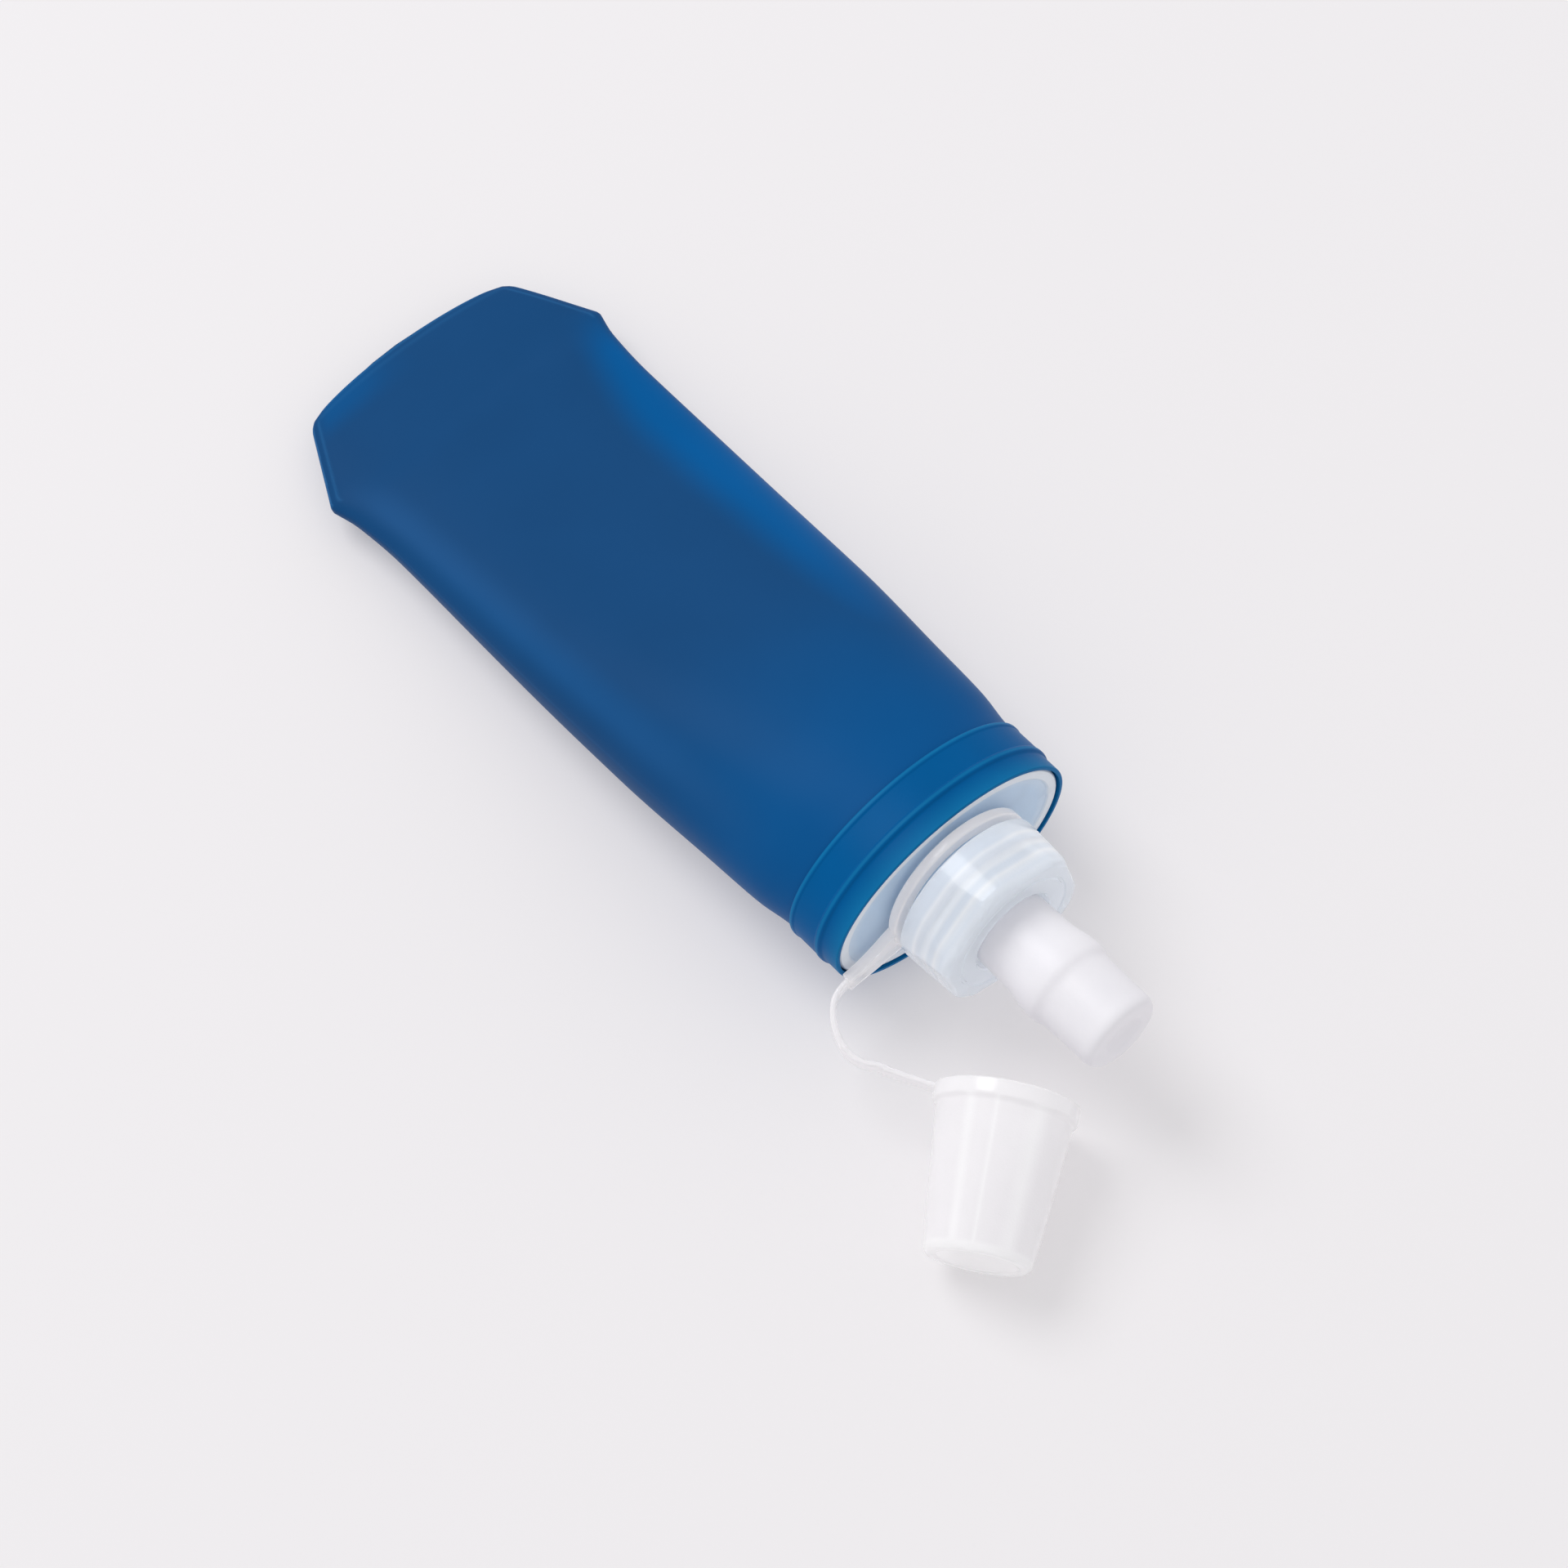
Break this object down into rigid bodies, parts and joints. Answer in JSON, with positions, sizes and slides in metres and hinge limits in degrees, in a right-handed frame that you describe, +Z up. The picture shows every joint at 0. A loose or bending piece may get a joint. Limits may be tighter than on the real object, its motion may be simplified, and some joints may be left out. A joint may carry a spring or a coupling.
{
  "type": "folding water bottle",
  "caption": "Soft folding water flask of blue film with a gusseted foot, an oval collar, a faceted screw cap with a bite valve, and a clear dust cover on a tether.",
  "frame": {"origin": "middle of the outline, on the surface the flask lies on", "axes": "+X towards the mouth along the flask's length, +Z up from the surface it lies on; the neck's axis rises 5.99 degrees from +X"},
  "size_m": [0.2286, 0.084, 0.0426],
  "materials": {
    "film": "translucent satin film",
    "collar_weld": "satin, heat-sealed film",
    "fitment": "frosted translucent moulding",
    "seal": "plain elastomer",
    "clear_cap": "clear, lightly frosted moulding",
    "silicone": "soft white silicone",
    "tether": "clear, softly glossy moulding"
  },
  "bodies": {
    "base": {"film_body_shoulder": "film", "collar_band": "collar_weld", "neck_fitment": "fitment"},
    "foot": {"film_body_foot": "film", "base_gusset": "film"},
    "seal": {"seal_washer": "seal"},
    "cap": {"screw_cap": "clear_cap"},
    "valve": {"bite_valve": "silicone"},
    "ring": {"tether_ring": "tether"},
    "strap": {"tether_strap": "tether"},
    "cover": {"dust_cover": "tether"}
  },
  "joints": [
    {"name": "flask_fold", "type": "hinge", "parent": "base", "child": "foot", "pos_m": [-0.03776, 0.00737, 0.02441], "axis": [0, 1, 0], "range_deg": [0, 160]},
    {"name": "cap_lift", "type": "slide", "parent": "base", "child": "seal", "axis": [0.9945, 0, 0.1044], "range_m": [0, 0.0054]},
    {"name": "cap_turn", "type": "hinge", "parent": "seal", "child": "cap", "pos_m": [0.05553, 0.00737, 0.02264], "axis": [0.9945, 0, 0.1044], "range_deg": [0, 720]},
    {"name": "valve_pull", "type": "slide", "parent": "cap", "child": "valve", "axis": [0.9945, 0, 0.1044], "range_m": [0, 0.018]},
    {"name": "ring_swivel", "type": "hinge", "parent": "base", "child": "ring", "pos_m": [0.05195, 0.00737, 0.02226], "axis": [0.9945, 0, 0.1044], "continuous": true},
    {"name": "tether_bend", "type": "hinge", "parent": "ring", "child": "strap", "pos_m": [0.05352, -0.02033, 0.0174], "axis": [0, 0, 1], "range_deg": [-25, 3]},
    {"name": "cover_bend", "type": "hinge", "parent": "strap", "child": "cover", "pos_m": [0.06934, -0.0255, 0.01367], "axis": [0, 0, 1], "range_deg": [-45, 3]}
  ],
  "couplings": [
    {"joint": "cap_turn", "follows": "cap_lift", "rad_per_m": 2327.1}
  ]
}
